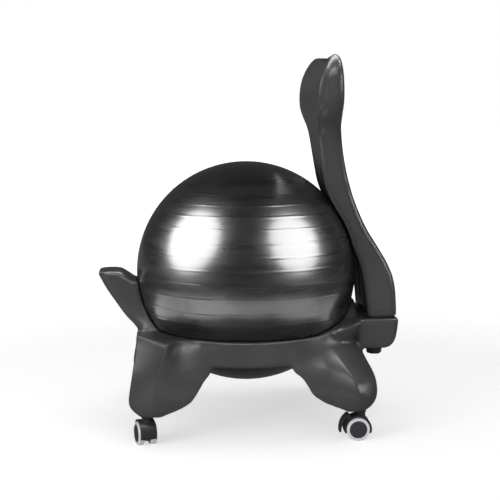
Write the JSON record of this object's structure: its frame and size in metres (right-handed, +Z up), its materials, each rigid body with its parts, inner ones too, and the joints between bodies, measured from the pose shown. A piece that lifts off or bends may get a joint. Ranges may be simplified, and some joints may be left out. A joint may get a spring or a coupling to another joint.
{
  "type": "balance ball chair",
  "caption": "Moulded four-legged caster base with a front tongue and a plug-in T-shaped backrest, carrying a ribbed inflated exercise ball as its seat",
  "frame": {"origin": "on the floor under the ball's axis, midway across and along the whole chair", "axes": "+Z up, -X the way the sitter faces, -Y the sitter's left; height is the longest extent and width the shortest"},
  "size_m": [0.6719, 0.534, 0.822],
  "materials": {
    "charcoal_plastic": "satin moulded",
    "ball_vinyl": "glossy, stretched smooth",
    "black_plastic": "satin moulded",
    "hub_plastic": "satin moulded",
    "grey_tread": "soft matt",
    "zinc_steel": "zinc plated",
    "brass_insert": "turned"
  },
  "bodies": {
    "base": {"base_shell": "charcoal_plastic", "backrest": "charcoal_plastic", "knob_washer_left": "zinc_steel", "knob_washer_right": "zinc_steel", "backrest_insert_left": "brass_insert", "backrest_insert_right": "brass_insert", "front_left_socket": "black_plastic", "front_right_socket": "black_plastic", "rear_left_socket": "black_plastic", "rear_right_socket": "black_plastic"},
    "ball": {"ball_shell": "ball_vinyl", "ball_plug": "black_plastic"},
    "knob_left": {"knob_left": "black_plastic", "knob_stud_left": "zinc_steel"},
    "knob_right": {"knob_right": "black_plastic", "knob_stud_right": "zinc_steel"},
    "front_left_caster": {"front_left_stem": "zinc_steel", "front_left_hood": "black_plastic", "front_left_axle": "zinc_steel"},
    "front_left_wheel_left": {"front_left_hub_left": "hub_plastic", "front_left_tread_left": "grey_tread"},
    "front_left_wheel_right": {"front_left_hub_right": "hub_plastic", "front_left_tread_right": "grey_tread"},
    "front_right_caster": {"front_right_stem": "zinc_steel", "front_right_hood": "black_plastic", "front_right_axle": "zinc_steel"},
    "front_right_wheel_left": {"front_right_hub_left": "hub_plastic", "front_right_tread_left": "grey_tread"},
    "front_right_wheel_right": {"front_right_hub_right": "hub_plastic", "front_right_tread_right": "grey_tread"},
    "rear_left_caster": {"rear_left_stem": "zinc_steel", "rear_left_hood": "black_plastic", "rear_left_axle": "zinc_steel"},
    "rear_left_wheel_left": {"rear_left_hub_left": "hub_plastic", "rear_left_tread_left": "grey_tread"},
    "rear_left_wheel_right": {"rear_left_hub_right": "hub_plastic", "rear_left_tread_right": "grey_tread"},
    "rear_left_brake": {"rear_left_brake_lever": "black_plastic"},
    "rear_right_caster": {"rear_right_stem": "zinc_steel", "rear_right_hood": "black_plastic", "rear_right_axle": "zinc_steel"},
    "rear_right_wheel_left": {"rear_right_hub_left": "hub_plastic", "rear_right_tread_left": "grey_tread"},
    "rear_right_wheel_right": {"rear_right_hub_right": "hub_plastic", "rear_right_tread_right": "grey_tread"},
    "rear_right_brake": {"rear_right_brake_lever": "black_plastic"}
  },
  "joints": [
    {"name": "ball_turn", "type": "hinge", "parent": "base", "child": "ball", "pos_m": [0, 0, 0.338], "axis": [0, 0, 1], "continuous": true},
    {"name": "knob_left_turn", "type": "hinge", "parent": "base", "child": "knob_left", "pos_m": [0.289, -0.055, 0.165], "axis": [0, 0, 1], "continuous": true},
    {"name": "knob_right_turn", "type": "hinge", "parent": "base", "child": "knob_right", "pos_m": [0.289, 0.055, 0.165], "axis": [0, 0, 1], "continuous": true},
    {"name": "front_left_swivel", "type": "hinge", "parent": "base", "child": "front_left_caster", "pos_m": [-0.227, -0.236, 0.08], "axis": [0, 0, 1], "continuous": true},
    {"name": "front_left_wheel_left_spin", "type": "hinge", "parent": "front_left_caster", "child": "front_left_wheel_left", "pos_m": [-0.2292, -0.22831, 0.025], "axis": [0.9613, 0.2756, 0], "continuous": true},
    {"name": "front_left_wheel_right_spin", "type": "hinge", "parent": "front_left_caster", "child": "front_left_wheel_right", "pos_m": [-0.2292, -0.22831, 0.025], "axis": [0.9613, 0.2756, 0], "continuous": true},
    {"name": "front_right_swivel", "type": "hinge", "parent": "base", "child": "front_right_caster", "pos_m": [-0.227, 0.236, 0.08], "axis": [0, 0, 1], "continuous": true},
    {"name": "front_right_wheel_left_spin", "type": "hinge", "parent": "front_right_caster", "child": "front_right_wheel_left", "pos_m": [-0.2292, 0.22831, 0.025], "axis": [-0.9613, 0.2756, 0], "continuous": true},
    {"name": "front_right_wheel_right_spin", "type": "hinge", "parent": "front_right_caster", "child": "front_right_wheel_right", "pos_m": [-0.2292, 0.22831, 0.025], "axis": [-0.9613, 0.2756, 0], "continuous": true},
    {"name": "rear_left_swivel", "type": "hinge", "parent": "base", "child": "rear_left_caster", "pos_m": [0.2335, -0.2205, 0.08], "axis": [0, 0, 1], "continuous": true},
    {"name": "rear_left_wheel_left_spin", "type": "hinge", "parent": "rear_left_caster", "child": "rear_left_wheel_left", "pos_m": [0.2255, -0.2205, 0.025], "axis": [0, 1, 0], "continuous": true},
    {"name": "rear_left_wheel_right_spin", "type": "hinge", "parent": "rear_left_caster", "child": "rear_left_wheel_right", "pos_m": [0.2255, -0.2205, 0.025], "axis": [0, 1, 0], "continuous": true},
    {"name": "rear_left_brake_press", "type": "hinge", "parent": "rear_left_caster", "child": "rear_left_brake", "pos_m": [0.20426, -0.2205, 0.05219], "axis": [0, -1, 0], "range_deg": [0, 8], "stiffness_Nm_per_rad": 0.6},
    {"name": "rear_right_swivel", "type": "hinge", "parent": "base", "child": "rear_right_caster", "pos_m": [0.2335, 0.2205, 0.08], "axis": [0, 0, 1], "continuous": true},
    {"name": "rear_right_wheel_left_spin", "type": "hinge", "parent": "rear_right_caster", "child": "rear_right_wheel_left", "pos_m": [0.2255, 0.2205, 0.025], "axis": [0, 1, 0], "continuous": true},
    {"name": "rear_right_wheel_right_spin", "type": "hinge", "parent": "rear_right_caster", "child": "rear_right_wheel_right", "pos_m": [0.2255, 0.2205, 0.025], "axis": [0, 1, 0], "continuous": true},
    {"name": "rear_right_brake_press", "type": "hinge", "parent": "rear_right_caster", "child": "rear_right_brake", "pos_m": [0.20426, 0.2205, 0.05219], "axis": [0, -1, 0], "range_deg": [0, 8], "stiffness_Nm_per_rad": 0.6}
  ]
}
